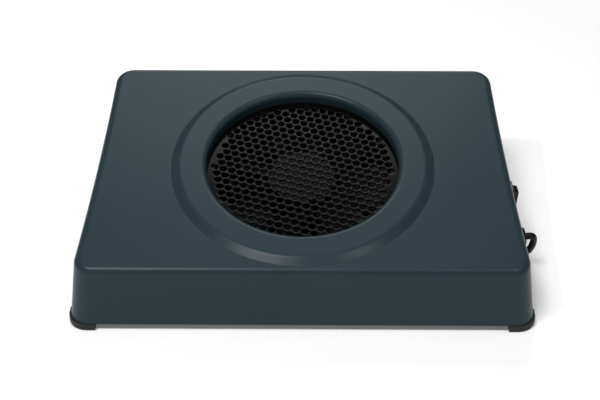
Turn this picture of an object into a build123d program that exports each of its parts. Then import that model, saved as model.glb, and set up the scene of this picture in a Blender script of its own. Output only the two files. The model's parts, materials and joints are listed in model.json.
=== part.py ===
from build123d import *
import os
from math import cos, hypot, pi, radians, sin, sqrt, tan

# A table-top nail dust collector. A fan under the round grille in the sloping top draws dust down
# and blows it out through a filter cassette in the rear wall.
# Frame: +Z up, front towards -Y, the switch and the cord on +X. The origin is on the table under
# the middle of the machine. All sizes are in millimetres.

os.makedirs("parts", exist_ok=True)

# ---- overall sizes ----
front_width = 290.0        # across the casing's lower edge at the front
rear_width = 280.0         # across the casing's lower edge at the rear
side_bow = 1.6             # how far the long sides curve inwards, seen from above
body_depth = 178.0         # casing, front to rear
front_height = 46.8        # table to the top of the front wall
top_slope = 13.0           # degrees, the top rises towards the rear
side_draft = 0.14          # side walls lean in by this much per millimetre of height
front_draft = 0.01         # the same for the front wall
wall = 2.6                 # casing wall
corner_radius = 12.0       # upright corners of the casing
edge_radius = 5.0          # rounded edge between the top and the walls
section_height = 130.0     # the walls are drawn up to here, then cut by the slope
cut_past = 1.0             # a cut runs on this far past the face it opens

# ---- feet ----
foot_height = 5.0
foot_side = 17.5
foot_proud = 0.5           # a foot stands out past the casing by this much
foot_round = 1.2
foot_inner_round = 3.0
foot_screw_radius = 1.5
foot_screw_length = 8.0
foot_head_radius = 3.0
foot_head_height = 1.6
foot_recess = 2.4
foot_recess_radius = 3.4
foot_boss_radius = 2.5
foot_boss_height = 4.0
hole_spare = 0.6           # a blind screw hole is this much deeper than its screw

# ---- raised ring and intake ----
ring_y = -3.0              # middle of the ring on the slope, along Y
ring_foot_radius = 85.0
ring_top_radius = 79.5
ring_height = 3.0
ring_round = 5.0
hole_radius = 62.3
hole_round = 3.4
collar_wall = 2.6
grille_depth = 8.0         # from the ring's flat top down to the grille

# ---- grille ----
grille_thickness = 1.2
grille_overlap = 3.2       # how far the grille reaches under the casing's collar
grille_margin = 2.6        # solid border inside the collar
grille_pitch = 5.8
grille_hole_radius = 2.25
grille_turn = -17.0        # degrees, direction of the lattice's rows

# ---- grille retainer ----
retainer_thickness = 2.0
retainer_inner_radius = 57.5
retainer_screw_circle = 71.0
retainer_ear_radius = 3.6
retainer_screw_radius = 1.2
retainer_screw_length = 7.0
retainer_head_radius = 2.3
retainer_head_height = 1.3
retainer_boss_radius = 3.2
retainer_margin = 3.0      # the retainer reaches past the grille's edge by this much
retainer_hole_gap = 0.2

# ---- fan ----
fan_side = 120.0
fan_height = 25.0
fan_hole_spacing = 105.0
fan_hole_radius = 2.2
fan_screw_radius = 1.9
fan_screw_length = 34.0
fan_head_radius = 3.6
fan_head_height = 2.2
fan_boss_radius = 3.7
fan_corner = 6.0
fan_bore_radius = 57.0
fan_tip_gap = 1.0
fan_flange = 4.0
fan_barrel_wall = 2.6
fan_arm_width = 6.0
fan_arm_thickness = 3.0
fan_arms = 4
fan_arm_root = 1.5         # an arm runs this far into the seat and into the barrel
gasket_thickness = 1.5
gasket_width = 2.4
hub_radius = 22.5
hub_wall = 1.6
hub_top_gap = 1.8          # from the fan's upper face down to the hub's top
hub_length = 18.6
hub_round = 1.6
hub_boss_radius = 3.4
hub_boss_length = 1.8
blade_count = 7
blade_thickness = 1.5
blade_root_chord = 21.0
blade_tip_chord = 27.0
blade_root_pitch = 48.0    # degrees from the plane of rotation
blade_tip_pitch = 30.0
blade_spare = 3.0          # a blade is drawn this far past its tip, then trimmed round
seat_radius = 23.0
bearing_tube_radius = 5.6
bearing_radius = 4.0
bearing_length = 3.0
bearing_sink = 1.0         # the lower bearing sits this far down in the seat
bearing_gap = 0.6          # between the bearing tube and the hub's boss
shaft_radius = 1.5
shaft_sink = 0.6
shaft_clearance = 0.03
magnet_wall = 2.2
magnet_length = 13.0
magnet_gap = 1.0           # below the hub's end wall
coil_radius = 16.8
coil_length = 10.5
coil_gap = 0.4             # coils above the board
coil_slot_length = 9.0
coil_slot_width = 2.2
coil_clearance = 0.05
board_radius = 16.0
board_thickness = 1.2
board_clearance = 0.1

# ---- base ----
base_thickness = 3.0
base_gap = 0.3
base_boss_radius = 4.0
base_screw_radius = 1.4
base_screw_length = 12.0
base_head_radius = 2.7
base_head_height = 1.4
base_front_inset = 3.0     # the middle screw's boss stands this far behind the front wall
base_recess_radius = 3.2
base_recess = 1.7
base_boss_x = 118.0
base_boss_y = 66.0

# ---- filter cassette in the rear wall ----
cassette_width = 176.0
cassette_height = 44.0
cassette_low = 16.0        # table to the lower edge of its opening
cassette_depth = 20.0
cassette_gap = 0.3
cassette_wall = 2.0
panel_thickness = 2.5
panel_lap = 4.0            # the panel covers the edge of the opening by this much
panel_gap = 0.1
panel_corner = 4.0
panel_round = 1.0
front_lip = 2.0            # the panel's inner rim that the filter rests against
slat_count = 8
slat_height = 2.0
slat_margin = 4.0
slat_round_share = 0.35     # of a slot's height, the rounding of its corners
sleeve_wall = 2.0
sleeve_depth = 22.0
filter_thickness = 13.0
filter_gap = 0.3
clip_gap = 0.2
clip_width = 6.0
clip_rib = 4.0
clip_thickness = 2.0
notch_width = 44.0
notch_depth = 1.4
notch_rim = 0.6
notch_round = 2.5

# ---- rocker switch on the right wall ----
switch_y = -7.4
switch_z = 43.0
seat_gap = 0.03            # under a flat flange on the gently curved side wall
bezel_length = 21.0
bezel_width = 12.0
bezel_thickness = 2.0
bezel_corner = 1.2
bezel_round = 0.6
switch_body_length = 19.0
switch_body_width = 10.0
switch_body_depth = 13.0
switch_cut_gap = 0.15
rocker_radius = 8.0        # its two ends are part of one round, about the pivot
rocker_corner = 23.0       # degrees
rocker_throw = 10.0        # degrees each way from the middle
rocker_width = 7.6
rocker_gap = 0.3
rocker_sink = 4.0
rocker_dish = 0.3
rocker_well = 1.0          # below the rocker's round
pivot_height = 0.75        # pivot above the wall's face
pivot_radius = 0.7
pivot_clearance = 0.04
pivot_pin_length = 1.2     # out of each side of the rocker
pivot_hole_length = 1.4
terminal_width = 4.8
terminal_thickness = 0.8
terminal_length = 7.0
terminal_offset = 4.0

# ---- cord ----
gland_y = -29.8
gland_z = 28.25
gland_cap_radius = 6.0
gland_cap_length = 5.2
gland_cap_round = 1.6
gland_barrel_radius = 4.6
gland_tail_radius = 3.4
gland_tail_length = 19.0
gland_nut_radius = 6.4
gland_nut_length = 3.5
gland_clearance = 0.05
cord_radius = 2.25
coil_centre = (110.0, 130.0)
coil_inner_radius = 16.0
coil_outer_radius = 34.0
coil_height = 9.0
coil_lift = 0.9            # the coil lies on its tie
tie_width = 4.0
tie_thickness = 0.9
plug_length = 34.0
plug_width = 35.0
plug_height = 13.5
plug_boot_length = 22.0
plug_boot_start = 14.0
plug_boot_wall = 0.9
plug_boot_end_radius = 4.6
plug_corner = 4.0
plug_neck_share = 0.5      # of the body's width, where the boot joins it
plug_taper_share = 0.55    # of the body's length
plug_round = 1.5
pin_radius = 2.0
pin_length = 19.0
pin_root = 6.0
pin_round = 1.6
pin_spacing = 19.0

# ---- wiring ----
terminal_block_size = (18.0, 30.0, 14.0)
terminal_block_place = (92.0, -26.0)
block_ways = 3
block_hole_radius = 2.4
block_hole_depth = 4.0
block_round = 1.0
wire_radius = 0.9
wire_spacing = 3.0         # of the two wires of a pair, either side of their lane
wire_straight = 6.0        # straight length where a wire leaves or enters
switch_wire_straight = 8.0
supply_level = 7.0         # above the base plate, where the supply lead enters the block
switch_wire_level = 9.0
fan_wire_level = 5.5
fan_wire_shift = 12.0
supply_straight = 8.0

# ---- planes and places worked out from the sizes ----
front_y = -(body_depth + panel_thickness + panel_gap - foot_proud) / 2
rear_y = front_y + body_depth
slope = radians(top_slope)
slope_normal = (0, -sin(slope), cos(slope))
ramp_plane = Plane(origin=(0, front_y, front_height), x_dir=(1, 0, 0), z_dir=slope_normal)
ring_on_ramp = (0, (ring_y - front_y) / cos(slope))
ring_plane = Plane(ramp_plane.from_local_coords((*ring_on_ramp, ring_height)), x_dir=(1, 0, 0),
                   z_dir=slope_normal)
grille_top = -grille_depth
retainer_top = grille_top - grille_thickness
gasket_top = retainer_top - retainer_thickness
fan_top = gasket_top - gasket_thickness
fan_bottom = fan_top - fan_height
grille_radius = hole_radius + grille_overlap
base_top = foot_height + base_thickness


def wall_x(y, z):
    """Half width of the casing's outer face at a place."""
    share = (y - front_y) / body_depth
    straight = front_width / 2 + (rear_width - front_width) / 2 * share
    return straight - side_bow * (1 - (2 * share - 1) ** 2) - side_draft * (z - foot_height)


def side_plane(y, z):
    """Plane on the right wall: its Z points out of the wall and its Y up the wall."""
    step = 0.01
    lean = (wall_x(y + step, z) - wall_x(y - step, z)) / (2 * step)
    return Plane(origin=(wall_x(y, z), y, z), x_dir=(lean, 1, 0), z_dir=(1, -lean, side_draft))


def outline(level, inset):
    """The casing's outline at a level, drawn inside its outer face by inset."""
    rise = level - foot_height
    half_front = front_width / 2 - side_draft * rise - inset
    half_rear = rear_width / 2 - side_draft * rise - inset
    front = front_y + front_draft * rise + inset
    rear = rear_y - inset
    half_middle = (half_front + half_rear) / 2 - side_bow
    with BuildSketch(Plane.XY.offset(level)) as section:
        with BuildLine():
            Line((-half_front, front), (half_front, front))
            ThreePointArc((half_front, front), (half_middle, (front + rear) / 2), (half_rear, rear))
            Line((half_rear, rear), (-half_rear, rear))
            ThreePointArc((-half_rear, rear), (-half_middle, (front + rear) / 2), (-half_front, front))
        make_face()
        fillet(section.vertices(), corner_radius - inset)
    return section.sketch


def casing_block(inset, low):
    """A solid with the casing's own shape, drawn in by inset, without the raised ring."""
    with BuildPart() as block:
        loft([outline(low, inset), outline(section_height, inset)], ruled=True)
        split(bisect_by=ramp_plane.offset(-inset), keep=Keep.BOTTOM)
        top = block.faces().sort_by(Axis((0, 0, 0), slope_normal))[-1]
        fillet(top.edges(), edge_radius - inset)
    return block.part


def screw(radius, length, head_radius, head_height, plane):
    """A pan-head screw: its head's underside is at the plane, its shank runs along the plane's Z."""
    with BuildPart() as body:
        with BuildSketch(plane):
            Circle(radius)
        extrude(amount=length)
        with BuildSketch(plane.offset(-head_height)):
            Circle(head_radius)
        extrude(amount=head_height)
        rim = body.faces().sort_by(Axis(plane.origin, plane.z_dir))[0]
        fillet(rim.edges(), head_height * 0.45)
        with BuildSketch(plane.offset(-head_height)):
            Rectangle(head_radius * 1.1, head_radius * 0.25)
            Rectangle(head_radius * 0.25, head_radius * 1.1)
        extrude(amount=head_height * 0.5, mode=Mode.SUBTRACT)
    return body.part


def save(part, name):
    """Label a finished piece and write it as its own node."""
    part.label = name
    export_step(part, f"parts/{name}.step")


# ---- top casing ----
base_screw_places = [(x, y) for x in (-base_boss_x, base_boss_x) for y in (-base_boss_y, base_boss_y)]
base_screw_places.append((0, front_y + wall + base_boss_radius + base_front_inset))
fan_half = fan_hole_spacing / 2
fan_corners = [(x, y) for x in (-fan_half, fan_half) for y in (-fan_half, fan_half)]
retainer_places = [(retainer_screw_circle * cos(radians(a)), retainer_screw_circle * sin(radians(a)))
                   for a in (0, 90, 180, 270)]
boss_root = -wall / 2

outer_block = casing_block(0, foot_height)
inner_block = casing_block(wall, foot_height - cut_past)

with BuildPart() as base_bosses:
    with BuildSketch(Plane.XY.offset(base_top)):
        with Locations(*base_screw_places):
            Circle(base_boss_radius)
    extrude(amount=section_height - base_top)
    add(inner_block, mode=Mode.INTERSECT)

cassette_middle = cassette_low + cassette_height / 2
sleeve_plane = Plane(origin=(0, rear_y, cassette_middle), x_dir=(-1, 0, 0), z_dir=(0, 1, 0))

with BuildPart() as top_casing:
    add(outer_block)
    with Locations(ring_plane.offset(-ring_height)):
        Cone(ring_foot_radius, ring_top_radius, ring_height, align=(Align.CENTER, Align.CENTER, Align.MIN))
    ring_edge = top_casing.faces().sort_by(Axis((0, 0, 0), slope_normal))[-1].edges()
    fillet(ring_edge, ring_round)
    add(inner_block, mode=Mode.SUBTRACT)
    with Locations(ring_plane.offset(-ring_height - wall)):
        Cone(ring_foot_radius - wall, ring_top_radius - wall, ring_height,
             align=(Align.CENTER, Align.CENTER, Align.MIN), mode=Mode.SUBTRACT)
    with BuildSketch(ring_plane.offset(grille_top)):
        Circle(hole_radius + collar_wall)
    extrude(amount=grille_depth + boss_root)
    with BuildSketch(ring_plane.offset(retainer_top)):
        with Locations(*retainer_places):
            Circle(retainer_boss_radius)
    extrude(amount=-retainer_top + boss_root)
    with BuildSketch(ring_plane.offset(fan_top)):
        with Locations(*fan_corners):
            Circle(fan_boss_radius)
    extrude(amount=-fan_top + boss_root)
    with BuildSketch(ring_plane.offset(retainer_top)):
        with Locations(*retainer_places):
            Circle(retainer_screw_radius + shaft_clearance)
    extrude(amount=-retainer_top - wall, mode=Mode.SUBTRACT)
    with BuildSketch(ring_plane.offset(fan_top)):
        with Locations(*fan_corners):
            Circle(fan_screw_radius + shaft_clearance)
    extrude(amount=-fan_top - wall, mode=Mode.SUBTRACT)
    with BuildSketch(ring_plane.offset(grille_top)):
        Circle(hole_radius)
    extrude(amount=grille_depth, mode=Mode.SUBTRACT)
    rim = top_casing.faces().sort_by(Axis((0, 0, 0), slope_normal))[-1].edges().sort_by(SortBy.LENGTH)[0]
    fillet(rim, hole_round)
    add(base_bosses.part)
    with BuildSketch(Plane.XY.offset(base_top)):
        with Locations(*base_screw_places):
            Circle(base_screw_radius + shaft_clearance)
    extrude(amount=base_screw_length, mode=Mode.SUBTRACT)
    with BuildSketch(sleeve_plane.offset(-sleeve_depth)):
        Rectangle(cassette_width + 2 * sleeve_wall, cassette_height + 2 * sleeve_wall)
    extrude(amount=sleeve_depth - wall / 2)
    with BuildSketch(sleeve_plane.offset(-sleeve_depth)):
        Rectangle(cassette_width, cassette_height)
    extrude(amount=sleeve_depth, mode=Mode.SUBTRACT)
    with BuildSketch(side_plane(switch_y, switch_z).offset(-2 * wall)):
        Rectangle(switch_body_width + 2 * switch_cut_gap, switch_body_length + 2 * switch_cut_gap)
    extrude(amount=4 * wall, mode=Mode.SUBTRACT)
    with BuildSketch(side_plane(gland_y, gland_z).offset(-2 * wall)):
        Circle(gland_barrel_radius + gland_clearance)
    extrude(amount=4 * wall, mode=Mode.SUBTRACT)
save(top_casing.part, "top_casing")

# ---- base plate ----
foot_centre_y = body_depth / 2 + foot_proud - foot_side / 2
middle_y = (front_y + rear_y) / 2
foot_places = {
    "foot_front_left": (-1, -1), "foot_front_right": (1, -1),
    "foot_rear_left": (-1, 1), "foot_rear_right": (1, 1),
}


def foot_centre(side, end):
    """Middle of one foot, from the corner of the casing that it sits under."""
    half = front_width / 2 if end < 0 else rear_width / 2
    return side * (half + foot_proud - foot_side / 2), middle_y + end * foot_centre_y


foot_centres = [foot_centre(side, end) for side, end in foot_places.values()]

with BuildPart() as base_plate:
    add(outline(base_top, wall + base_gap))
    extrude(amount=-base_thickness)
    with BuildSketch(Plane.XY.offset(base_top)):
        with Locations(*foot_centres):
            Circle(foot_boss_radius)
    extrude(amount=foot_boss_height)
    with BuildSketch(Plane.XY.offset(foot_height)):
        with Locations(*foot_centres):
            Circle(foot_screw_radius + shaft_clearance)
    extrude(amount=foot_recess + foot_screw_length + hole_spare - foot_height, mode=Mode.SUBTRACT)
    with BuildSketch(Plane.XY.offset(foot_height)):
        with Locations(*base_screw_places):
            Circle(base_screw_radius + shaft_clearance)
    extrude(amount=base_thickness, mode=Mode.SUBTRACT)
    with BuildSketch(Plane.XY.offset(foot_height)):
        with Locations(*base_screw_places):
            Circle(base_recess_radius)
    extrude(amount=base_recess, mode=Mode.SUBTRACT)
save(base_plate.part, "base_plate")

# ---- feet ----
for name, (side, end) in foot_places.items():
    centre_x, centre_y = foot_centre(side, end)
    with BuildPart() as foot:
        with BuildSketch(Plane.XY) as pad:
            with Locations((centre_x, centre_y)):
                Rectangle(foot_side, foot_side)
            outer_corner = pad.vertices().sort_by_distance((side * front_width, end * body_depth))[0]
            fillet(outer_corner, corner_radius)
            inner_corners = pad.vertices().sort_by_distance((0, middle_y))[0:1]
            fillet(inner_corners, foot_inner_round)
        extrude(amount=foot_height)
        fillet(foot.faces().sort_by(Axis.Z)[0].edges(), foot_round)
        with BuildSketch(Plane.XY):
            with Locations((centre_x, centre_y)):
                Circle(foot_screw_radius + shaft_clearance)
        extrude(amount=foot_height, mode=Mode.SUBTRACT)
        with BuildSketch(Plane.XY):
            with Locations((centre_x, centre_y)):
                Circle(foot_recess_radius)
        extrude(amount=foot_recess, mode=Mode.SUBTRACT)
    save(foot.part, name)

# ---- screws ----
foot_screw_list = [screw(foot_screw_radius, foot_screw_length, foot_head_radius, foot_head_height,
                         Plane(origin=(x, y, foot_recess))) for x, y in foot_centres]
save(Compound(children=foot_screw_list), "foot_screws")

base_screw_list = [screw(base_screw_radius, base_screw_length, base_head_radius, base_head_height,
                         Plane(origin=(x, y, foot_height + base_recess))) for x, y in base_screw_places]
save(Compound(children=base_screw_list), "base_screws")

retainer_screw_list = [
    screw(retainer_screw_radius, retainer_screw_length, retainer_head_radius, retainer_head_height,
          Plane(ring_plane.from_local_coords((x, y, gasket_top)), x_dir=(1, 0, 0), z_dir=slope_normal))
    for x, y in retainer_places]
save(Compound(children=retainer_screw_list), "retainer_screws")

fan_screw_list = [
    screw(fan_screw_radius, fan_screw_length, fan_head_radius, fan_head_height,
          Plane(ring_plane.from_local_coords((x, y, fan_bottom)), x_dir=(1, 0, 0), z_dir=slope_normal))
    for x, y in fan_corners]
save(Compound(children=fan_screw_list), "fan_screws")

# ---- grille ----
row_step = grille_pitch * sqrt(3) / 2
hole_limit = hole_radius - grille_margin - grille_hole_radius
rows = int(hole_limit / row_step) + 1
grille_holes = []
for row in range(-rows, rows + 1):
    shift = grille_pitch / 2 if row % 2 else 0.0
    for column in range(-rows, rows + 1):
        x = column * grille_pitch + shift
        y = row * row_step
        if hypot(x, y) <= hole_limit:
            grille_holes.append((x, y))

row_direction = ring_plane.x_dir * cos(radians(grille_turn)) + ring_plane.y_dir * sin(radians(grille_turn))
grille_plane = Plane(ring_plane.from_local_coords((0, 0, retainer_top)), x_dir=row_direction,
                     z_dir=slope_normal)
with BuildPart() as intake_grille:
    with BuildSketch(grille_plane):
        Circle(grille_radius)
        with Locations(*grille_holes):
            Circle(grille_hole_radius, mode=Mode.SUBTRACT)
    extrude(amount=grille_thickness)
save(intake_grille.part, "intake_grille")

# ---- grille retainer and gasket ----
with BuildPart() as grille_retainer:
    with BuildSketch(ring_plane.offset(gasket_top)):
        Circle(grille_radius + retainer_margin)
        with Locations(*retainer_places):
            Circle(retainer_ear_radius)
        Circle(retainer_inner_radius, mode=Mode.SUBTRACT)
        with Locations(*retainer_places):
            Circle(retainer_screw_radius + retainer_hole_gap, mode=Mode.SUBTRACT)
    extrude(amount=retainer_thickness)
save(grille_retainer.part, "grille_retainer")

with BuildPart() as fan_gasket:
    with BuildSketch(ring_plane.offset(fan_top)):
        Circle(fan_side / 2)
        Circle(fan_side / 2 - gasket_width, mode=Mode.SUBTRACT)
    extrude(amount=gasket_thickness)
save(fan_gasket.part, "fan_gasket")

# ---- fan frame ----
tube_top = fan_top - hub_top_gap - hub_wall - hub_boss_length - bearing_gap
seat_top = fan_bottom + fan_arm_thickness

with BuildPart() as fan_frame:
    for level in (fan_bottom, fan_top - fan_flange):
        with BuildSketch(ring_plane.offset(level)):
            RectangleRounded(fan_side, fan_side, fan_corner)
        extrude(amount=fan_flange)
    with BuildSketch(ring_plane.offset(fan_bottom)):
        Circle(fan_bore_radius + fan_barrel_wall)
    extrude(amount=fan_height)
    with BuildSketch(ring_plane.offset(fan_bottom)):
        Circle(fan_bore_radius)
    extrude(amount=fan_height, mode=Mode.SUBTRACT)
    with BuildSketch(ring_plane.offset(fan_bottom)):
        Circle(seat_radius)
        with PolarLocations(0, fan_arms, start_angle=45):
            with Locations(((seat_radius + fan_bore_radius) / 2, 0)):
                Rectangle(fan_bore_radius - seat_radius + 2 * fan_arm_root, fan_arm_width)
    extrude(amount=fan_arm_thickness)
    with BuildSketch(ring_plane.offset(seat_top)):
        Circle(bearing_tube_radius)
    extrude(amount=tube_top - seat_top)
    with BuildSketch(ring_plane.offset(seat_top - bearing_sink)):
        Circle(bearing_radius)
    extrude(amount=tube_top - seat_top + bearing_sink, mode=Mode.SUBTRACT)
    with BuildSketch(ring_plane.offset(fan_bottom)):
        with Locations(*fan_corners):
            Circle(fan_hole_radius)
    extrude(amount=fan_height, mode=Mode.SUBTRACT)
save(fan_frame.part, "fan_frame")

# ---- motor ----
with BuildPart() as fan_bearings:
    for level in (seat_top - bearing_sink, tube_top - bearing_length):
        with BuildSketch(ring_plane.offset(level)):
            Circle(bearing_radius)
            Circle(shaft_radius + shaft_clearance, mode=Mode.SUBTRACT)
        extrude(amount=bearing_length)
save(fan_bearings.part, "fan_bearings")

with BuildPart() as motor_board:
    with BuildSketch(ring_plane.offset(seat_top)):
        Circle(board_radius)
        Circle(bearing_tube_radius + board_clearance, mode=Mode.SUBTRACT)
    extrude(amount=board_thickness)
save(motor_board.part, "motor_board")

coil_bottom = seat_top + board_thickness + coil_gap
with BuildPart() as motor_coils:
    with BuildSketch(ring_plane.offset(coil_bottom)):
        Circle(coil_radius)
        with PolarLocations(coil_radius, 4, start_angle=45):
            Rectangle(coil_slot_length, coil_slot_width, mode=Mode.SUBTRACT)
        Circle(bearing_tube_radius + coil_clearance, mode=Mode.SUBTRACT)
    extrude(amount=coil_length)
save(motor_coils.part, "motor_coils")

# ---- rotor ----
hub_top = fan_top - hub_top_gap
hub_bottom = hub_top - hub_length
blade_tip_radius = fan_bore_radius - fan_tip_gap
blade_level = (hub_top + hub_bottom) / 2


def blade_section(radius, chord, pitch):
    """A blade's cut at a radius: a slim rectangle turned by the blade's pitch."""
    plane = Plane(origin=(radius, 0, 0), x_dir=(0, 1, 0), z_dir=(1, 0, 0))
    with BuildSketch(plane) as cut:
        with Locations(Location((0, 0, 0), (0, 0, pitch))):
            Rectangle(chord, blade_thickness)
    return cut.sketch


with BuildPart() as one_blade:
    loft([blade_section(hub_radius - hub_wall / 2, blade_root_chord, blade_root_pitch),
          blade_section(blade_tip_radius + blade_spare, blade_tip_chord, blade_tip_pitch)], ruled=True)
    Cylinder(blade_tip_radius, 3 * hub_length, mode=Mode.INTERSECT)

hub_frame = Plane(ring_plane.from_local_coords((0, 0, blade_level)), x_dir=(1, 0, 0), z_dir=slope_normal)
with BuildPart() as fan_rotor:
    with BuildSketch(ring_plane.offset(hub_bottom)):
        Circle(hub_radius)
    extrude(amount=hub_length)
    fillet(fan_rotor.faces().sort_by(Axis((0, 0, 0), slope_normal))[-1].edges(), hub_round)
    with BuildSketch(ring_plane.offset(hub_bottom)):
        Circle(hub_radius - hub_wall)
    extrude(amount=hub_length - hub_wall, mode=Mode.SUBTRACT)
    with BuildSketch(ring_plane.offset(hub_top - hub_wall)):
        Circle(hub_boss_radius)
    extrude(amount=-hub_boss_length)
    with Locations(hub_frame):
        with PolarLocations(0, blade_count):
            add(one_blade.part)
    with BuildSketch(ring_plane.offset(hub_top - hub_wall - hub_boss_length)):
        Circle(shaft_radius)
    extrude(amount=hub_boss_length + hub_wall / 2, mode=Mode.SUBTRACT)
save(fan_rotor.part, "fan_rotor")

with BuildPart() as rotor_magnet:
    with BuildSketch(ring_plane.offset(hub_top - hub_wall - magnet_gap)):
        Circle(hub_radius - hub_wall)
        Circle(hub_radius - hub_wall - magnet_wall, mode=Mode.SUBTRACT)
    extrude(amount=-magnet_length)
save(rotor_magnet.part, "rotor_magnet")

with BuildPart() as fan_shaft:
    with BuildSketch(ring_plane.offset(seat_top - shaft_sink)):
        Circle(shaft_radius)
    extrude(amount=hub_top - hub_wall / 2 - seat_top + shaft_sink)
save(fan_shaft.part, "fan_shaft")

# ---- filter cassette ----
opening_width = cassette_width - 2 * cassette_gap
opening_height = cassette_height - 2 * cassette_gap
window_width = opening_width - 2 * cassette_wall
window_height = opening_height - 2 * cassette_wall
slat_step = window_height / slat_count
slot_height = slat_step - slat_height
panel_face = panel_gap + panel_thickness

with BuildPart() as filter_cassette:
    with BuildSketch(sleeve_plane.offset(panel_gap)):
        RectangleRounded(cassette_width + 2 * panel_lap, cassette_height + 2 * panel_lap, panel_corner)
    extrude(amount=panel_thickness)
    fillet(filter_cassette.faces().sort_by(Axis.Y)[-1].edges(), panel_round)
    with BuildSketch(sleeve_plane.offset(-cassette_depth)):
        Rectangle(opening_width, opening_height)
    extrude(amount=cassette_depth + panel_gap)
    with BuildSketch(sleeve_plane.offset(-cassette_depth)):
        Rectangle(window_width, window_height)
    extrude(amount=cassette_depth - front_lip, mode=Mode.SUBTRACT)
    with BuildSketch(sleeve_plane.offset(-front_lip)):
        with GridLocations(window_width / 2, slat_step, 2, slat_count):
            RectangleRounded(window_width / 2 - slat_margin, slot_height, slat_round_share * slot_height)
    extrude(amount=front_lip + panel_face, mode=Mode.SUBTRACT)
    with BuildSketch(sleeve_plane.offset(panel_face)):
        with Locations((0, cassette_height / 2 + panel_lap)):
            RectangleRounded(notch_width, 2 * (panel_lap - notch_rim), notch_round)
    extrude(amount=-notch_depth, mode=Mode.SUBTRACT)
save(filter_cassette.part, "filter_cassette")

with BuildPart() as filter_pad:
    with BuildSketch(sleeve_plane.offset(-front_lip - filter_gap)):
        Rectangle(window_width - 2 * filter_gap, window_height - 2 * filter_gap)
    extrude(amount=-filter_thickness)
save(filter_pad.part, "filter_pad")

with BuildPart() as filter_clip:
    with BuildSketch(sleeve_plane.offset(-front_lip - filter_gap - filter_thickness - clip_gap)):
        Rectangle(window_width, window_height)
        Rectangle(window_width - 2 * clip_width, window_height - 2 * clip_width, mode=Mode.SUBTRACT)
        Rectangle(clip_rib, window_height)
    extrude(amount=-clip_thickness)
save(filter_clip.part, "filter_clip")

# ---- rocker switch ----
switch_plane = side_plane(switch_y, switch_z).offset(seat_gap)
rocker_opening = rocker_radius + rocker_gap
pivot_plane = Plane(switch_plane.from_local_coords((0, 0, pivot_height)), x_dir=switch_plane.y_dir,
                    z_dir=switch_plane.x_dir)

with BuildPart() as switch_body:
    with BuildSketch(switch_plane):
        RectangleRounded(bezel_width, bezel_length, bezel_corner)
    extrude(amount=bezel_thickness)
    fillet(switch_body.faces().sort_by(Axis(switch_plane.origin, switch_plane.z_dir))[-1].edges(), bezel_round)
    with BuildSketch(switch_plane):
        Rectangle(switch_body_width, switch_body_length)
    extrude(amount=-switch_body_depth)
    with BuildSketch(switch_plane.offset(-rocker_radius - rocker_well)):
        Rectangle(rocker_width + 2 * rocker_gap, 2 * rocker_opening)
    extrude(amount=rocker_radius + rocker_well + bezel_thickness, mode=Mode.SUBTRACT)
    with BuildSketch(pivot_plane):
        Circle(pivot_radius + pivot_clearance)
    extrude(amount=rocker_width / 2 + pivot_hole_length, both=True, mode=Mode.SUBTRACT)
save(switch_body.part, "switch_body")

# The rocker rests tilted about its pivot, with its upper end standing proud.
tilt = radians(rocker_throw)
up_wall = pivot_plane.x_dir * cos(tilt) + pivot_plane.y_dir * sin(tilt)
rocker_plane = Plane(pivot_plane.origin, x_dir=up_wall, z_dir=pivot_plane.z_dir)
corner_up = rocker_radius * cos(radians(rocker_corner))
corner_out = rocker_radius * sin(radians(rocker_corner))
sink_up = sqrt(rocker_radius ** 2 - rocker_sink ** 2)

with BuildPart() as switch_rocker:
    with BuildSketch(rocker_plane):
        with BuildLine():
            ThreePointArc((-corner_up, corner_out), (0, corner_out - rocker_dish), (corner_up, corner_out))
            ThreePointArc((corner_up, corner_out), (rocker_radius, 0), (sink_up, -rocker_sink))
            Line((sink_up, -rocker_sink), (-sink_up, -rocker_sink))
            ThreePointArc((-sink_up, -rocker_sink), (-rocker_radius, 0), (-corner_up, corner_out))
        make_face()
    extrude(amount=rocker_width / 2, both=True)
    with BuildSketch(rocker_plane):
        Circle(pivot_radius)
    extrude(amount=rocker_width / 2 + pivot_pin_length, both=True)
save(switch_rocker.part, "switch_rocker")

with BuildPart() as switch_terminals:
    with BuildSketch(switch_plane.offset(-switch_body_depth)):
        with Locations((0, -terminal_offset), (0, terminal_offset)):
            Rectangle(terminal_width, terminal_thickness)
    extrude(amount=-terminal_length)
save(switch_terminals.part, "switch_terminals")

# ---- cord bushing ----
gland_plane = side_plane(gland_y, gland_z).offset(seat_gap)
with BuildPart() as cord_bushing:
    with BuildSketch(gland_plane):
        Circle(gland_cap_radius)
    extrude(amount=gland_cap_length)
    fillet(cord_bushing.faces().sort_by(Axis(gland_plane.origin, gland_plane.z_dir))[-1].edges(),
           gland_cap_round)
    with BuildSketch(gland_plane):
        Circle(gland_barrel_radius)
    with BuildSketch(gland_plane.offset(-gland_tail_length)):
        Circle(gland_tail_radius)
    loft()
    with BuildSketch(gland_plane.offset(gland_cap_length)):
        Circle(cord_radius + gland_clearance)
    extrude(amount=-gland_cap_length - gland_tail_length, mode=Mode.SUBTRACT)
save(cord_bushing.part, "cord_bushing")

with BuildPart() as bushing_nut:
    with BuildSketch(gland_plane.offset(-wall - 2 * seat_gap)):
        RegularPolygon(gland_nut_radius, 6)
        Circle(gland_barrel_radius + gland_clearance, mode=Mode.SUBTRACT)
    extrude(amount=-gland_nut_length)
save(bushing_nut.part, "bushing_nut")


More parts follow.
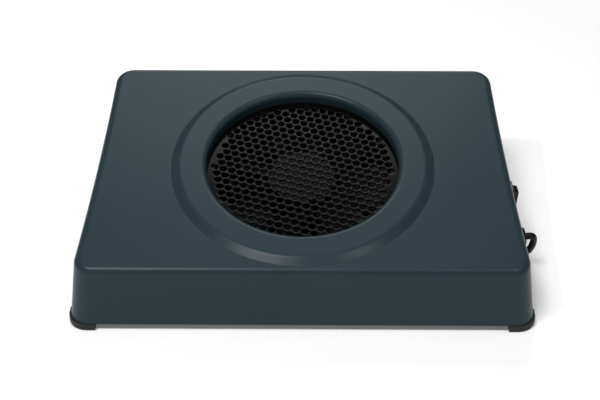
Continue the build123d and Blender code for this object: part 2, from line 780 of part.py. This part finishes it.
def tube(points, radius, name):
    """A round lead along straight runs joined by arcs as large as the runs allow."""
    runs = [(Vector(b) - Vector(a)).length for a, b in zip(points, points[1:])]
    radii = []
    for before, after, run_in, run_out in zip(
            zip(points, points[1:]), zip(points[1:], points[2:]), runs, runs[1:]):
        first = Vector(before[1]) - Vector(before[0])
        second = Vector(after[1]) - Vector(after[0])
        half_turn = radians(first.get_angle(second)) / 2
        radii.append(0.45 * min(run_in, run_out) / tan(half_turn))
    print(name, "runs", [round(run, 1) for run in runs], "radii", [round(value, 1) for value in radii])
    with BuildPart() as lead:
        with BuildLine() as route:
            FilletPolyline(*points, radius=radii)
        start = Vector(points[0])
        with BuildSketch(Plane(start, z_dir=Vector(points[1]) - start)):
            Circle(radius)
        sweep(path=route.wire())
    length = route.wire().length
    print(name, "length", round(length, 1), "volume over section times length",
          round(lead.part.volume / (pi * radius ** 2 * length), 4))
    return lead.part


# ---- cord outside the casing ----
cord_exit = gland_plane.from_local_coords((0, 0, gland_cap_length))
cord_points = [
    tuple(cord_exit),
    (149.2, -29.4, 29.6),
    (151.3, -28.6, 24.6),
    (150.6, -27.1, 18.6),
    (148.7, -24.2, 12.6),
    (147.0, -18.2, 7.4),
    (146.2, -8.5, 3.6),
    (145.5, 5.0, 2.25),
    (145.6, 26.0, 2.25),
    (145.5, 50.0, 2.25),
    (145.0, 74.0, 2.25),
    (144.1, 96.0, 2.6),
    (142.6, 118.5, 3.15),
]
print("cord exit", [round(value, 3) for value in cord_exit])
power_cord = tube(cord_points, cord_radius, "power_cord")
save(power_cord, "power_cord")

# ---- coil of the spare length, its tie, and the plug ----
with BuildPart() as cord_coil:
    with BuildSketch(Plane.XY.offset(coil_lift)):
        with Locations(coil_centre):
            Circle(coil_outer_radius)
            Circle(coil_inner_radius, mode=Mode.SUBTRACT)
    extrude(amount=coil_height)
    fillet(cord_coil.edges(), cord_radius * 0.8)
save(cord_coil.part, "cord_coil")

coil_middle = (coil_inner_radius + coil_outer_radius) / 2
tie_length = coil_outer_radius - coil_inner_radius
with BuildPart() as cord_tie:
    with BuildSketch(Plane(origin=(coil_centre[0] - coil_middle, coil_centre[1], coil_lift + coil_height / 2),
                           x_dir=(1, 0, 0), z_dir=(0, 1, 0))):
        RectangleRounded(tie_length + 2 * tie_thickness, coil_height + 2 * tie_thickness, cord_radius)
        RectangleRounded(tie_length, coil_height, cord_radius * 0.5, mode=Mode.SUBTRACT)
    extrude(amount=tie_width / 2, both=True)
save(cord_tie.part, "cord_tie")

plug_lane = coil_centre[1] + coil_outer_radius - cord_radius
plug_axis = Plane(origin=(coil_centre[0] - plug_boot_start, plug_lane, plug_height / 2),
                  x_dir=(0, 1, 0), z_dir=(-1, 0, 0))
plug_front = plug_boot_length + plug_length
with BuildPart() as power_plug:
    with BuildSketch(plug_axis):
        Circle(cord_radius + plug_boot_wall)
    with BuildSketch(plug_axis.offset(plug_boot_length + cut_past)):
        Circle(plug_boot_end_radius)
    loft()
    with BuildSketch(plug_axis.offset(plug_boot_length)):
        RectangleRounded(plug_width * plug_neck_share, plug_height, plug_corner)
    with BuildSketch(plug_axis.offset(plug_boot_length + plug_length * plug_taper_share)):
        RectangleRounded(plug_width, plug_height, plug_corner)
    loft()
    with BuildSketch(plug_axis.offset(plug_boot_length + plug_length * plug_taper_share)):
        RectangleRounded(plug_width, plug_height, plug_corner)
    extrude(amount=plug_length * (1 - plug_taper_share))
    fillet(power_plug.faces().sort_by(Axis.X)[0].edges(), plug_round)
    with BuildSketch(plug_axis.offset(plug_front)):
        with Locations((-pin_spacing / 2, 0), (pin_spacing / 2, 0)):
            Circle(pin_radius)
    extrude(amount=-pin_root, mode=Mode.SUBTRACT)
save(power_plug.part, "power_plug")

with BuildPart() as plug_pins:
    with BuildSketch(plug_axis.offset(plug_front - pin_root)):
        with Locations((-pin_spacing / 2, 0), (pin_spacing / 2, 0)):
            Circle(pin_radius)
    extrude(amount=pin_length + pin_root)
    fillet(plug_pins.faces().sort_by(Axis.X)[:2].edges(), pin_round)
save(plug_pins.part, "plug_pins")

# ---- wiring inside ----
block_x, block_y = terminal_block_place
block_length, block_width, block_height = terminal_block_size
with BuildPart() as terminal_block:
    with Locations((block_x, block_y, base_top + block_height / 2)):
        Box(block_length, block_width, block_height)
    with Locations((block_x, block_y, base_top + block_height)):
        with GridLocations(0, block_width / block_ways, 1, block_ways):
            Hole(block_hole_radius, block_hole_depth)
    fillet(terminal_block.edges().filter_by(Axis.Z).group_by(SortBy.LENGTH)[-1], block_round)
save(terminal_block.part, "terminal_block")

block_side = block_x + block_length / 2
tail_end = gland_plane.from_local_coords((0, 0, -gland_tail_length - supply_straight))
supply_points = [
    tuple(cord_exit),
    tuple(tail_end),
    (block_side + wire_straight, block_y, base_top + supply_level),
    (block_side, block_y, base_top + supply_level),
]
save(tube(supply_points, cord_radius, "supply_lead"), "supply_lead")

switch_back = -switch_body_depth - terminal_length
switch_wires = []
for side in (-1, 1):
    terminal_end = switch_plane.from_local_coords((0, side * terminal_offset, switch_back))
    away = switch_plane.from_local_coords((0, side * terminal_offset, switch_back - switch_wire_straight))
    lane = block_y + block_width / block_ways + side * wire_spacing
    switch_wires.append(tube([
        tuple(terminal_end),
        tuple(away),
        (block_side + switch_wire_straight, lane, base_top + switch_wire_level),
        (block_side, lane, base_top + switch_wire_level),
    ], wire_radius, "switch_leads"))
save(Compound(children=switch_wires), "switch_leads")

fan_wires = []
for side in (-1, 1):
    lane = block_y - block_width / block_ways + side * wire_spacing
    start = ring_plane.from_local_coords((fan_side / 2, lane + fan_wire_shift, fan_bottom + fan_flange / 2))
    fan_wires.append(tube([
        tuple(start),
        (start.X + wire_straight, start.Y, start.Z),
        (block_x - block_length / 2 - wire_straight, lane, base_top + fan_wire_level),
        (block_x - block_length / 2, lane, base_top + fan_wire_level),
    ], wire_radius, "fan_leads"))
save(Compound(children=fan_wires), "fan_leads")
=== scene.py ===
# %% [markdown]
# A table-top nail dust collector, dressed for display. The CAD frame already has every part in
# its place and at its size, so this lesson adds what a drawing lacks: finishes, the mains cord as
# one bent lead, a punched grille with rounded rims, and soft studio light.

# %% Load the frame
import json
import math

import bmesh
import bpy
from mathutils import Matrix, Vector


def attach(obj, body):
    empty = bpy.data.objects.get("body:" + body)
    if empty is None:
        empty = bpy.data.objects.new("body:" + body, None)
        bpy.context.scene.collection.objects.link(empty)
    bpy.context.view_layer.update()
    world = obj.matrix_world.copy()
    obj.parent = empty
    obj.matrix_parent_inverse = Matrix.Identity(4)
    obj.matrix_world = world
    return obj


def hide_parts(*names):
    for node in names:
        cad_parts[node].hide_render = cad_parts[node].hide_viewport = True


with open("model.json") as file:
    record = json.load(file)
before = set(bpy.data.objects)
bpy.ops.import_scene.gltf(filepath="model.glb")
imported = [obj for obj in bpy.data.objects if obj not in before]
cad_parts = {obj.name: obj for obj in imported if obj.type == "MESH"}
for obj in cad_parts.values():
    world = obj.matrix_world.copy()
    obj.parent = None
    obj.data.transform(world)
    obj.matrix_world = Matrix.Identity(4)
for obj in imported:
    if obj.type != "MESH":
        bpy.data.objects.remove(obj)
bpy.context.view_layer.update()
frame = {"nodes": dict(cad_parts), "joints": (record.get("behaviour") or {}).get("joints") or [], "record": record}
nodes = frame["nodes"]
joints = {joint["name"]: joint for joint in frame["joints"]}

# %% [markdown]
# The camera stands in front of the machine and looks down on it, as a customer at the nail table
# would. A long lens keeps the sides calm.

# %% Camera
camera_place = (0.00276, -0.67826, 0.51387)
camera_tilt = math.radians(54.84)
camera_pan = 0.0067                        # radians, a slight turn to the left
lens_length = 75.19                        # mm, on the sensor below
sensor_width = 36.0
camera_data = bpy.data.cameras.new("front_camera")
camera_data.sensor_width = sensor_width
camera_data.lens = lens_length
camera = bpy.data.objects.new("front_camera", camera_data)
camera.location = camera_place
camera.rotation_euler = (camera_tilt, 0.0, camera_pan)
bpy.context.scene.collection.objects.link(camera)
bpy.context.scene.camera = camera
print("camera", tuple(camera.location))

# %% [markdown]
# The mains cord is a real length of round lead. It leaves the bushing level, folds down at once,
# falls along the side wall and runs back over the table. What is not in use is wound up behind the
# machine in two layers and held by a tie. One smooth NURBS line carries all of it, so the sheath
# never kinks: the route's points are its control points, and the coil's turns are more of them.

# %% Cord: the visible run
cord_radius = 0.00225
cord_route = [
    (0.14379, -0.029595, 0.028975),
    (0.1483, -0.0294, 0.0298),
    (0.1499, -0.0286, 0.0260),
    (0.1497, -0.0271, 0.0200),
    (0.1484, -0.0242, 0.0132),
    (0.1470, -0.0182, 0.0077),
    (0.1462, -0.0085, 0.0037),
    (0.1455, 0.0050, 0.00225),
    (0.1456, 0.0260, 0.00225),
    (0.1455, 0.0500, 0.00225),
    (0.1450, 0.0740, 0.00225),
    (0.1441, 0.0960, 0.0026),
]

# %% Cord: the wound part
coil_x, coil_y = 0.110, 0.130
coil_low, coil_high = 0.00315, 0.00765     # middle of the cord in the lower and the upper layer
outer_turn = 0.03175                       # radius of the outermost turn
columns = 4                                # turns side by side
step_share = 1 / 6                         # of a turn, while the cord shifts to the next column
upper_step_end = 0.77                      # the upper layer shifts earlier, clear of the climb
steps_per_turn = 24
quarter_turn = 0.25
start_angle = math.radians(8)


def eased(share):
    """Rise gently from 0 to 1."""
    share = min(max(share, 0.0), 1.0)
    return share * share * (3 - 2 * share)


def coil_point(turn):
    """A point of the winding, counted in turns from where the cord joins it."""
    whole, part = divmod(turn, 1)
    climb = 0.0
    if turn < columns:
        shift = eased((part - 1 + step_share) / step_share)
        column = whole + (shift if whole < columns - 1 else 0.0)
        climb = shift if whole == columns - 1 else 0.0
    else:
        shift = eased((part - upper_step_end + step_share) / step_share)
        column = max(2 * columns - 1 - whole - shift, 0.0)
        climb = 1.0
    radius = outer_turn - 2 * cord_radius * column
    angle = start_angle + 2 * math.pi * turn
    return (coil_x + radius * math.cos(angle), coil_y + radius * math.sin(angle),
            coil_low + (coil_high - coil_low) * climb)


all_turns = 2 * columns - 1 + quarter_turn - start_angle / (2 * math.pi)
coil_steps = int(all_turns * steps_per_turn)
coil_route = [coil_point(all_turns * step / coil_steps) for step in range(coil_steps + 1)]
before_plug = (0.1030, 0.16185, 0.00725)
plug_mouth = (0.0955, 0.16175, 0.00675)
print("points in the winding", len(coil_route))

# %% [markdown]
# A curve's box takes in the radius of its points, so the points hold the cord's true radius and
# the bevel is one, which their radius scales.

# %% Cord: make the curve
cord_curve = bpy.data.curves.new("mains_cord", "CURVE")
cord_curve.dimensions = "3D"
cord_curve.bevel_depth = 1.0
cord_curve.bevel_resolution = 5
cord_curve.resolution_u = 6
cord_curve.use_fill_caps = True
cord_line = cord_curve.splines.new("NURBS")
cord_points = cord_route + coil_route + [before_plug, plug_mouth]
cord_line.points.add(len(cord_points) - 1)
for spot, place in zip(cord_line.points, cord_points):
    spot.co = (*place, 1.0)
    spot.radius = cord_radius
cord_line.order_u = 3
cord_line.use_endpoint_u = True
mains_cord = bpy.data.objects.new("mains_cord", cord_curve)
bpy.context.scene.collection.objects.link(mains_cord)
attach(mains_cord, "housing")
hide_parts("power_cord", "cord_coil")
print("cord spline length", round(cord_line.calc_length(), 3))

# %% [markdown]
# Three effects come back in many finishes: a fine moulded grain, a slow drift of tone across a
# part, and the faint dust that settles on what faces up. Each is built once as a shader node group
# that puts out plain values, and every material sets its own amounts.

# %% Helper for node groups
def new_group(name, inputs, outputs):
    """An empty shader node group with named float inputs and outputs."""
    group = bpy.data.node_groups.new(name, "ShaderNodeTree")
    for label, value in inputs:
        socket = group.interface.new_socket(label, in_out="INPUT", socket_type="NodeSocketFloat")
        socket.default_value = value
    for label in outputs:
        group.interface.new_socket(label, in_out="OUTPUT", socket_type="NodeSocketFloat")
    group_in = group.nodes.new("NodeGroupInput")
    group_out = group.nodes.new("NodeGroupOutput")
    return group, group_in, group_out


def math_node(tree, operation, first, second):
    """A math node with each input a socket to link or a number to set."""
    node = tree.nodes.new("ShaderNodeMath")
    node.operation = operation
    for slot, value in enumerate((first, second)):
        if isinstance(value, (int, float)):
            node.inputs[slot].default_value = value
        else:
            tree.links.new(value, node.inputs[slot])
    return node.outputs[0]


# %% Node group: moulded grain
noise_share = 0.6                          # of the cells' scale, so the noise is the coarser one
grain, grain_in, grain_out = new_group(
    "moulded_grain", [("Scale", 2600.0), ("Mix", 0.5)], ["Height", "Fleck"])
grain_place = grain.nodes.new("ShaderNodeTexCoord")
grain_cells = grain.nodes.new("ShaderNodeTexVoronoi")
grain_cells.feature = "SMOOTH_F1"
grain_noise = grain.nodes.new("ShaderNodeTexNoise")
grain_noise.inputs["Detail"].default_value = 3.0
grain.links.new(grain_place.outputs["Object"], grain_cells.inputs["Vector"])
grain.links.new(grain_place.outputs["Object"], grain_noise.inputs["Vector"])
grain.links.new(grain_in.outputs["Scale"], grain_cells.inputs["Scale"])
noise_scale = math_node(grain, "MULTIPLY", grain_in.outputs["Scale"], noise_share)
grain.links.new(noise_scale, grain_noise.inputs["Scale"])
cell_share = math_node(grain, "MULTIPLY", grain_cells.outputs["Distance"], grain_in.outputs["Mix"])
grain.links.new(math_node(grain, "ADD", cell_share, grain_noise.outputs["Fac"]), grain_out.inputs["Height"])
grain.links.new(grain_noise.outputs["Fac"], grain_out.inputs["Fleck"])
print("group", grain.name)

# %% Node group: slow drift of tone
drift, drift_in, drift_out = new_group("tone_drift", [("Scale", 14.0), ("Streak", 1.0)], ["Value"])
drift_place = drift.nodes.new("ShaderNodeTexCoord")
drift_noise = drift.nodes.new("ShaderNodeTexNoise")
drift_noise.inputs["Detail"].default_value = 5.0
drift_noise.inputs["Roughness"].default_value = 0.55
drift.links.new(drift_place.outputs["Object"], drift_noise.inputs["Vector"])
drift.links.new(drift_in.outputs["Scale"], drift_noise.inputs["Scale"])
drift.links.new(math_node(drift, "MULTIPLY", drift_noise.outputs["Fac"], drift_in.outputs["Streak"]),
                drift_out.inputs["Value"])
print("group", drift.name)

# %% Node group: settled dust
speck_sharpness = 5.0                      # power that leaves only the brightest specks
dust, dust_in, dust_out = new_group("settled_dust", [("Amount", 0.1), ("Scale", 420.0)], ["Mask"])
dust_place = dust.nodes.new("ShaderNodeTexCoord")
dust_shape = dust.nodes.new("ShaderNodeNewGeometry")
dust_split = dust.nodes.new("ShaderNodeSeparateXYZ")
dust_noise = dust.nodes.new("ShaderNodeTexNoise")
dust_noise.inputs["Detail"].default_value = 8.0
dust_noise.inputs["Roughness"].default_value = 0.75
dust.links.new(dust_place.outputs["Object"], dust_noise.inputs["Vector"])
dust.links.new(dust_in.outputs["Scale"], dust_noise.inputs["Scale"])
dust.links.new(dust_shape.outputs["Normal"], dust_split.inputs[0])
facing_up = math_node(dust, "MAXIMUM", dust_split.outputs["Z"], 0.0)
specks = math_node(dust, "POWER", dust_noise.outputs["Fac"], speck_sharpness)
dusty = math_node(dust, "MULTIPLY", math_node(dust, "MULTIPLY", specks, facing_up), dust_in.outputs["Amount"])
dust.links.new(dusty, dust_out.inputs["Mask"])
print("group", dust.name)

# %% Node group: rubbed edges
wear, wear_in, wear_out = new_group("rubbed_edges", [("Amount", 0.5), ("Radius", 0.0006)], ["Mask"])
wear_round = wear.nodes.new("ShaderNodeBevel")
wear_round.samples = 4
wear_shape = wear.nodes.new("ShaderNodeNewGeometry")
wear_dot = wear.nodes.new("ShaderNodeVectorMath")
wear_dot.operation = "DOT_PRODUCT"
wear.links.new(wear_in.outputs["Radius"], wear_round.inputs["Radius"])
wear.links.new(wear_round.outputs["Normal"], wear_dot.inputs[0])
wear.links.new(wear_shape.outputs["Normal"], wear_dot.inputs[1])
turned = math_node(wear, "SUBTRACT", 1.0, wear_dot.outputs["Value"])
wear.links.new(math_node(wear, "MULTIPLY", turned, wear_in.outputs["Amount"]), wear_out.inputs["Mask"])
print("group", wear.name)

# %% [markdown]
# Every finish on this machine is a Principled BSDF with three layers of detail: a base tone that
# drifts between two close colours, a roughness that follows the grain, and a bump at the grain's
# own size. One helper builds that, and the list below gives each finish its own numbers.

# %% Helpers for materials
first_colour, second_colour, mixed_colour = 6, 7, 2     # the colour sockets of a mix node
dust_colour = (0.42, 0.41, 0.39)
relief_depth = 0.0001
coat_rough = 0.12
rubbed_gain, rubbed_lift = 1.6, 0.01       # how much paler a rubbed edge is than its finish


def set_group(tree, group, **values):
    """Place a node group in a material and set its inputs."""
    node = tree.nodes.new("ShaderNodeGroup")
    node.node_tree = group
    for label, value in values.items():
        node.inputs[label].default_value = value
    return node


def mix_colours(tree, share, first, second):
    """Mix two colours, each a socket or a value, by a value that changes over the surface."""
    node = tree.nodes.new("ShaderNodeMix")
    node.data_type = "RGBA"
    tree.links.new(share, node.inputs["Factor"])
    for slot, colour in ((first_colour, first), (second_colour, second)):
        if isinstance(colour, tuple):
            node.inputs[slot].default_value = (*colour, 1.0)
        else:
            tree.links.new(colour, node.inputs[slot])
    return node.outputs[mixed_colour]


def make_finish(name, dark, light, rough, rough_swing, grain_scale, bump, drift_scale=14.0, metal=0.0,
                coat=0.0, sheen=0.0, dust_amount=0.0, edge=0.0, specular=0.5):
    """A finish whose colour drifts from dark to light and whose gloss and bump follow its grain."""
    material = bpy.data.materials.new(name)
    material.use_nodes = True
    tree = material.node_tree
    shader = tree.nodes["Principled BSDF"]
    slow = set_group(tree, drift, Scale=drift_scale)
    fine = set_group(tree, grain, Scale=grain_scale)
    colour = mix_colours(tree, slow.outputs["Value"], dark, light)
    if edge:
        rubbed = set_group(tree, wear, Amount=edge)
        pale = tuple(min(1.0, part * rubbed_gain + rubbed_lift) for part in light)
        colour = mix_colours(tree, rubbed.outputs["Mask"], colour, pale)
    if dust_amount:
        settled = set_group(tree, dust, Amount=dust_amount)
        colour = mix_colours(tree, settled.outputs["Mask"], colour, dust_colour)
    tree.links.new(colour, shader.inputs["Base Color"])
    swing = math_node(tree, "MULTIPLY", fine.outputs["Fleck"], rough_swing)
    drifted = math_node(tree, "MULTIPLY", slow.outputs["Value"], rough_swing)
    base_rough = rough - rough_swing
    tree.links.new(math_node(tree, "ADD", math_node(tree, "ADD", swing, base_rough), drifted),
                   shader.inputs["Roughness"])
    relief = tree.nodes.new("ShaderNodeBump")
    relief.inputs["Strength"].default_value = bump
    relief.inputs["Distance"].default_value = relief_depth
    tree.links.new(fine.outputs["Height"], relief.inputs["Height"])
    tree.links.new(relief.outputs["Normal"], shader.inputs["Normal"])
    shader.inputs["Metallic"].default_value = metal
    shader.inputs["Coat Weight"].default_value = coat
    shader.inputs["Coat Roughness"].default_value = coat_rough
    shader.inputs["Sheen Weight"].default_value = sheen
    shader.inputs["Specular IOR Level"].default_value = specular
    return material


# %% The finishes
finishes = {
    "casing_plastic": make_finish("slate_casing", (0.018, 0.033, 0.041), (0.022, 0.040, 0.049), 0.32, 0.06,
                                  2600.0, 0.10, dust_amount=0.02, edge=0.10, specular=0.13),
    "cassette_plastic": make_finish("slate_cassette", (0.028, 0.049, 0.058), (0.034, 0.058, 0.068), 0.46,
                                    0.06, 2400.0, 0.14, dust_amount=0.10, edge=0.15),
    "base_plastic": make_finish("black_base", (0.010, 0.011, 0.012), (0.015, 0.016, 0.018), 0.62, 0.10,
                                1800.0, 0.25, edge=0.15),
    "foot_rubber": make_finish("foot_rubber", (0.006, 0.006, 0.007), (0.010, 0.010, 0.011), 0.72, 0.08,
                               1500.0, 0.25, dust_amount=0.12),
    "screw_steel": make_finish("zinc_screws", (0.42, 0.42, 0.43), (0.58, 0.58, 0.60), 0.34, 0.12, 3500.0,
                               0.20, drift_scale=120.0, metal=1.0),
    "grille_lacquer": make_finish("grille_lacquer", (0.0012, 0.0012, 0.0014), (0.0024, 0.0024, 0.0028), 0.14,
                                  0.05, 1200.0, 0.04, drift_scale=60.0, coat=0.0, specular=0.10),
    "black_plastic": make_finish("black_satin", (0.003, 0.003, 0.0034), (0.005, 0.005, 0.0056), 0.42, 0.10,
                                 2000.0, 0.15, dust_amount=0.01, specular=0.15),
    "switch_plastic": make_finish("switch_black", (0.0025, 0.0025, 0.003), (0.0045, 0.0045, 0.005), 0.24,
                                  0.06, 2600.0, 0.08, specular=0.3),
    "cord_sheath": make_finish("cord_sheath", (0.0025, 0.0025, 0.0027), (0.0045, 0.0045, 0.0048), 0.44, 0.08,
                               1600.0, 0.12, drift_scale=60.0, specular=0.2),
    "bare_metal": make_finish("nickel_plate", (0.62, 0.60, 0.57), (0.74, 0.72, 0.69), 0.18, 0.08, 2200.0,
                              0.08, drift_scale=150.0, metal=1.0),
    "copper_winding": make_finish("copper_winding", (0.45, 0.17, 0.07), (0.62, 0.26, 0.11), 0.30, 0.10,
                                  4000.0, 0.35, drift_scale=200.0, metal=1.0),
    "magnet_ferrite": make_finish("magnet_ferrite", (0.020, 0.020, 0.022), (0.035, 0.035, 0.037), 0.60,
                                  0.12, 2400.0, 0.30, drift_scale=120.0),
    "board_laminate": make_finish("board_laminate", (0.010, 0.070, 0.035), (0.015, 0.105, 0.050), 0.30,
                                  0.10, 2600.0, 0.10, drift_scale=100.0),
    "filter_fleece": make_finish("filter_fleece", (0.50, 0.50, 0.48), (0.66, 0.66, 0.63), 0.92, 0.08,
                                 900.0, 0.9, drift_scale=60.0, sheen=0.4, dust_amount=0.5),
}
slot_of = {entry["node"]: entry["material_slot"] for entry in frame["record"]["subparts"]}


def dress(piece, slot):
    """Give a piece one finish all over."""
    piece.data.materials.clear()
    piece.data.materials.append(finishes[slot])


for name, node in nodes.items():
    dress(node, slot_of[name])
dress(mains_cord, "cord_sheath")
print("finishes", len(finishes))

# %% [markdown]
# The grille is a sheet of black lacquered steel punched with rows of round holes. The punch leaves
# each rim rounded, and that round catches the light. One six-sided tile with its hole is modelled by
# hand, then laid side by side like a honeycomb and joined, which keeps every hole alike.

# %% Grille sizes and helpers
grille_pitch = 0.0058
hole_radius = 0.00225
rim_round = 0.00032
grille_thickness = 0.0012
well_radius = 0.0623
plate_margin = 0.0026
lattice_turn = math.radians(-17)
grille_below_ring = 0.008
border_past_well = 0.0012                  # the blank border goes in under the well's wall
inset_share = 0.05                         # of the pitch, for the first ring inside a tile
weld_distance = 0.00002
mirror_weld = 0.00001
flat_angle = math.radians(50)              # sharper edges than this stay sharp
tile_radius = grille_pitch / math.sqrt(3)
ring_middle = Vector(joints["fan_spin"]["pos_m"])
ring_normal = Vector(joints["fan_spin"]["axis"]).normalized()


def clear_selection():
    """Leave edit mode and select nothing."""
    if bpy.context.object is not None and bpy.context.object.mode != "OBJECT":
        bpy.ops.object.mode_set(mode="OBJECT")
    bpy.ops.object.select_all(action="DESELECT")


def use_only(piece):
    """Make one piece the selected and active one."""
    clear_selection()
    piece.select_set(True)
    bpy.context.view_layer.objects.active = piece


def ring_matrix(depth):
    """A place on the fan's axis, depth below the raised ring, with its Z along that axis."""
    across = Vector((1, 0, 0))
    up_slope = ring_normal.cross(across)
    turn = Matrix((across, up_slope, ring_normal)).transposed().to_4x4()
    return Matrix.Translation(ring_middle - ring_normal * depth) @ turn


print("grille lattice", grille_pitch, "in a well of radius", well_radius)

# %% Grille: one tile with a rounded hole
clear_selection()
bpy.ops.mesh.primitive_circle_add(vertices=6, radius=tile_radius, fill_type="NGON", location=(0, 0, 0))
tile = bpy.context.object
bpy.ops.object.mode_set(mode="EDIT")
bpy.ops.mesh.select_all(action="SELECT")
bpy.ops.mesh.subdivide(number_cuts=2)
bpy.ops.mesh.select_all(action="SELECT")
bpy.ops.mesh.dissolve_faces()
bpy.ops.mesh.inset(thickness=grille_pitch * inset_share)
bpy.ops.transform.tosphere(value=1.0)
rim_steps = [(hole_radius + rim_round, 0.0)]
for share in (0.5, 1.0):
    angle = share * math.pi / 2
    rim_steps.append((hole_radius + rim_round * (1 - math.sin(angle)), -rim_round * (1 - math.cos(angle))))
rim_steps.append((hole_radius, -grille_thickness / 2))
bm = bmesh.from_edit_mesh(tile.data)
ring_now = sum((v.co.xy.length for v in bm.verts if v.select), 0.0) / sum(v.select for v in bm.verts)
level_now = 0.0
for step, (radius, level) in enumerate(rim_steps):
    if step:
        bpy.ops.mesh.extrude_region_move()
    bpy.ops.transform.resize(value=(radius / ring_now, radius / ring_now, 1.0))
    bpy.ops.transform.translate(value=(0, 0, level - level_now))
    ring_now, level_now = radius, level
bpy.ops.mesh.delete(type="ONLY_FACE")
bpy.ops.object.mode_set(mode="OBJECT")
print("tile faces", len(tile.data.polygons), "points", len(tile.data.vertices))

# %% Grille: mirror the tile to its lower half
use_only(tile)
mirror = tile.modifiers.new("mirror", "MIRROR")
mirror.use_axis = (False, False, True)
mirror_line = bpy.data.objects.new("mirror_line", None)
mirror_line.location = (0, 0, -grille_thickness / 2)
bpy.context.scene.collection.objects.link(mirror_line)
mirror.mirror_object = mirror_line
mirror.merge_threshold = mirror_weld
bpy.ops.object.modifier_apply(modifier="mirror")
bpy.data.objects.remove(mirror_line)
print("whole tile faces", len(tile.data.polygons))

# %% Grille: one blank tile for the border
clear_selection()
bpy.ops.mesh.primitive_circle_add(vertices=6, radius=tile_radius, fill_type="NGON", location=(0, 0, 0))
blank = bpy.context.object
bpy.ops.object.mode_set(mode="EDIT")
bpy.ops.mesh.select_all(action="SELECT")
bpy.ops.mesh.subdivide(number_cuts=2)
bpy.ops.mesh.select_all(action="SELECT")
bpy.ops.mesh.dissolve_faces()
bpy.ops.mesh.select_all(action="SELECT")
bpy.ops.mesh.duplicate()
bpy.ops.transform.translate(value=(0, 0, -grille_thickness))
bpy.ops.mesh.flip_normals()
bpy.ops.object.mode_set(mode="OBJECT")
print("blank tile faces", len(blank.data.polygons))

# %% Grille: lay the tiles
row_step = grille_pitch * math.sqrt(3) / 2
hole_limit = well_radius - plate_margin - hole_radius
border_limit = well_radius + border_past_well
rows = int(border_limit / row_step) + 1
tiles = []
for row in range(-rows, rows + 1):
    shift = grille_pitch / 2 if row % 2 else 0.0
    for column in range(-rows, rows + 1):
        x, y = column * grille_pitch + shift, row * row_step
        reach = math.hypot(x, y)
        if reach > border_limit:
            continue
        mesh = (tile if reach <= hole_limit else blank).data.copy()
        mesh.transform(Matrix.Translation((x, y, 0)))
        laid = bpy.data.objects.new("laid_tile", mesh)
        bpy.context.scene.collection.objects.link(laid)
        tiles.append(laid)
print("tiles laid", len(tiles))

# %% Grille: join, bring the rim to a circle and put it in the well
clear_selection()
for laid in tiles:
    laid.select_set(True)
bpy.context.view_layer.objects.active = tiles[0]
bpy.ops.object.join()
grille = bpy.context.object
grille.name = "punched_grille"
bpy.ops.object.mode_set(mode="EDIT")
bpy.ops.mesh.select_all(action="SELECT")
bpy.ops.mesh.remove_doubles(threshold=weld_distance)
bpy.ops.mesh.select_all(action="DESELECT")
bpy.ops.mesh.select_mode(type="EDGE")
bpy.ops.mesh.select_non_manifold(extend=False, use_wire=False, use_multi_face=False,
                                 use_non_contiguous=False, use_verts=False)
bpy.ops.transform.tosphere(value=1.0)
bpy.ops.object.mode_set(mode="OBJECT")
print("grille points", len(grille.data.vertices), "faces", len(grille.data.polygons))
bpy.data.objects.remove(tile)
bpy.data.objects.remove(blank)
grille.data.transform(ring_matrix(grille_below_ring) @ Matrix.Rotation(lattice_turn, 4, "Z"))
use_only(grille)
bpy.ops.object.shade_smooth_by_angle(angle=flat_angle)
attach(grille, "housing")
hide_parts("intake_grille")
dress(grille, "grille_lacquer")

# %% [markdown]
# The machine stands on a plain pale table that glows a little, like a light table. A soft box from
# behind gives the top its gentle gradient, one from the front left lights the front, a faint one
# hangs overhead, and two small lamps above the grille pick out its rims.

# %% Table
table_size = 8.0
table_glow = 0.12
clear_selection()
bpy.ops.mesh.primitive_plane_add(size=table_size, location=(0, 0, 0))
table = bpy.context.object
table.name = "table"
table_finish = bpy.data.materials.new("table_white")
table_finish.use_nodes = True
table_shader = table_finish.node_tree.nodes["Principled BSDF"]
table_shader.inputs["Base Color"].default_value = (0.94, 0.94, 0.94, 1)
table_shader.inputs["Roughness"].default_value = 0.9
table_shader.inputs["Specular IOR Level"].default_value = 0.1
table_shader.inputs["Emission Color"].default_value = (1.0, 1.0, 1.0, 1)
table_shader.inputs["Emission Strength"].default_value = table_glow
table.data.materials.append(table_finish)
print("table", table_size, "m across")


# %% Lights
body_middle = (0, 0, 0.05)
lamp_distance = 1.2
lamp_size = 0.02
lamp_power = 2.6
lamp_lean = (0.414, -0.182, 0.891)         # towards a lamp: across, up the slope, along the fan's axis
world_glow = 0.07


def soft_box(name, place, aim, size, power):
    """A square area light at a place, turned towards a point."""
    data = bpy.data.lights.new(name, "AREA")
    data.shape = "SQUARE"
    data.size = size
    data.energy = power
    lamp = bpy.data.objects.new(name, data)
    lamp.location = place
    lamp.rotation_euler = (Vector(aim) - Vector(place)).to_track_quat("-Z", "Y").to_euler()
    bpy.context.scene.collection.objects.link(lamp)
    return lamp


soft_box("key_box", (-0.36, -0.60, 1.40), body_middle, 0.40, 12.5)
soft_box("rear_box", (-0.05, 1.10, 1.15), body_middle, 0.8, 8.0)
soft_box("overhead_box", (0.0, 0.0, 1.7), body_middle, 0.7, 2.0)
for side, side_name in ((-1, "left"), (1, "right")):
    across, up_slope, outward = lamp_lean
    toward = ring_matrix(0).to_3x3() @ Vector((across * side, up_slope, outward))
    lamp_place = ring_middle + toward * lamp_distance
    soft_box(f"glint_lamp_{side_name}", lamp_place, ring_middle, lamp_size, lamp_power)

world = bpy.data.worlds.new("studio")
bpy.context.scene.world = world
world.use_nodes = True
world.node_tree.nodes["Background"].inputs["Color"].default_value = (1, 1, 1, 1)
world.node_tree.nodes["Background"].inputs["Strength"].default_value = world_glow
bpy.context.scene.view_settings.view_transform = "Standard"
print("lights placed")
